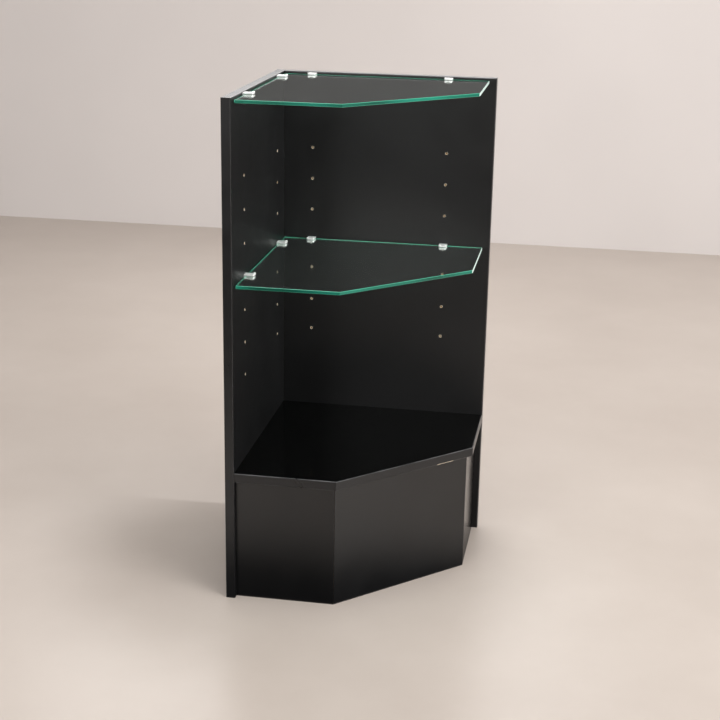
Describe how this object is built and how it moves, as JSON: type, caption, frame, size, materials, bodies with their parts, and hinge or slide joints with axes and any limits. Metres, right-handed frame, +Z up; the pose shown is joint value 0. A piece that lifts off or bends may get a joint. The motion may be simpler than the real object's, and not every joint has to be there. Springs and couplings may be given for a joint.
{
  "type": "corner display case",
  "caption": "Free-standing corner display case: two tall black panels at a right angle, a five-sided deck on a set-back base, and two five-sided glass shelves in clamp clips.",
  "frame": {"origin": "centre of the footprint, on the floor", "axes": "+Z up, +X to the right along the back panel, +Y towards the back"},
  "size_m": [0.448, 0.448, 0.965],
  "materials": {
    "black_melamine_board": "particleboard faced with satin black melamine",
    "black_edge_band": "2 mm black ABS edge band, satin",
    "clear_float_glass": "6 mm clear float glass with ground and polished green edges",
    "clip_chrome": "bright chrome on die-cast zinc",
    "screw_chrome": "chrome plated steel",
    "clear_soft_pad": "clear soft vinyl",
    "zinc_steel": "zinc plated steel",
    "black_cap_plastic": "moulded black plastic",
    "pine_batten": "planed pine",
    "beech_dowel": "fluted beech"
  },
  "bodies": {
    "root": {"left_panel": "black_melamine_board", "back_panel": "black_melamine_board", "deck": "black_melamine_board", "kick_front_left": "black_melamine_board", "kick_diagonal": "black_melamine_board", "kick_right": "black_melamine_board", "left_panel_front_band": "black_edge_band", "left_panel_rear_band": "black_edge_band", "left_panel_top_band": "black_edge_band", "back_panel_top_band": "black_edge_band", "back_panel_end_band": "black_edge_band", "deck_band_left": "black_edge_band", "deck_band_diagonal": "black_edge_band", "deck_band_right": "black_edge_band", "cleat_left": "pine_batten", "cleat_back": "pine_batten", "corner_block_front": "pine_batten", "corner_block_right": "pine_batten", "kick_dowels": "beech_dowel", "kick_bracket_left": "zinc_steel", "kick_bracket_right": "zinc_steel", "bracket_screws": "zinc_steel", "cleat_panel_screws": "zinc_steel", "cleat_deck_screws": "zinc_steel", "panel_joint_screws": "zinc_steel", "deck_joint_screws": "zinc_steel", "joint_screw_caps": "black_cap_plastic", "clip_pads": "clear_soft_pad", "top_clip_left_near": "clip_chrome", "top_clip_left_far": "clip_chrome", "top_clip_back_near": "clip_chrome", "top_clip_back_far": "clip_chrome", "shelf_clip_left_near": "clip_chrome", "shelf_clip_left_far": "clip_chrome", "shelf_clip_back_near": "clip_chrome", "shelf_clip_back_far": "clip_chrome"},
    "glass_top": {"glass_top": "clear_float_glass"},
    "glass_shelf": {"glass_shelf": "clear_float_glass"},
    "top_screw_left_near": {"top_screw_left_near": "screw_chrome", "top_tip_left_near": "clear_soft_pad"},
    "top_screw_left_far": {"top_screw_left_far": "screw_chrome", "top_tip_left_far": "clear_soft_pad"},
    "top_screw_back_near": {"top_screw_back_near": "screw_chrome", "top_tip_back_near": "clear_soft_pad"},
    "top_screw_back_far": {"top_screw_back_far": "screw_chrome", "top_tip_back_far": "clear_soft_pad"},
    "shelf_screw_left_near": {"shelf_screw_left_near": "screw_chrome", "shelf_tip_left_near": "clear_soft_pad"},
    "shelf_screw_left_far": {"shelf_screw_left_far": "screw_chrome", "shelf_tip_left_far": "clear_soft_pad"},
    "shelf_screw_back_near": {"shelf_screw_back_near": "screw_chrome", "shelf_tip_back_near": "clear_soft_pad"},
    "shelf_screw_back_far": {"shelf_screw_back_far": "screw_chrome", "shelf_tip_back_far": "clear_soft_pad"}
  },
  "joints": [
    {"name": "glass_top_slide", "type": "slide", "parent": "root", "child": "glass_top", "axis": [0.7071, -0.7071, 0], "range_m": [0, 0.2]},
    {"name": "glass_shelf_slide", "type": "slide", "parent": "root", "child": "glass_shelf", "axis": [0.7071, -0.7071, 0], "range_m": [0, 0.2]},
    {"name": "top_screw_left_near_thread", "type": "slide", "parent": "root", "child": "top_screw_left_near", "axis": [0, 0, 1], "range_m": [-0.0012, 0]},
    {"name": "top_screw_left_far_thread", "type": "slide", "parent": "root", "child": "top_screw_left_far", "axis": [0, 0, 1], "range_m": [-0.0012, 0]},
    {"name": "top_screw_back_near_thread", "type": "slide", "parent": "root", "child": "top_screw_back_near", "axis": [0, 0, 1], "range_m": [-0.0012, 0]},
    {"name": "top_screw_back_far_thread", "type": "slide", "parent": "root", "child": "top_screw_back_far", "axis": [0, 0, 1], "range_m": [-0.0012, 0]},
    {"name": "shelf_screw_left_near_thread", "type": "slide", "parent": "root", "child": "shelf_screw_left_near", "axis": [0, 0, 1], "range_m": [-0.0012, 0]},
    {"name": "shelf_screw_left_far_thread", "type": "slide", "parent": "root", "child": "shelf_screw_left_far", "axis": [0, 0, 1], "range_m": [-0.0012, 0]},
    {"name": "shelf_screw_back_near_thread", "type": "slide", "parent": "root", "child": "shelf_screw_back_near", "axis": [0, 0, 1], "range_m": [-0.0012, 0]},
    {"name": "shelf_screw_back_far_thread", "type": "slide", "parent": "root", "child": "shelf_screw_back_far", "axis": [0, 0, 1], "range_m": [-0.0012, 0]}
  ]
}
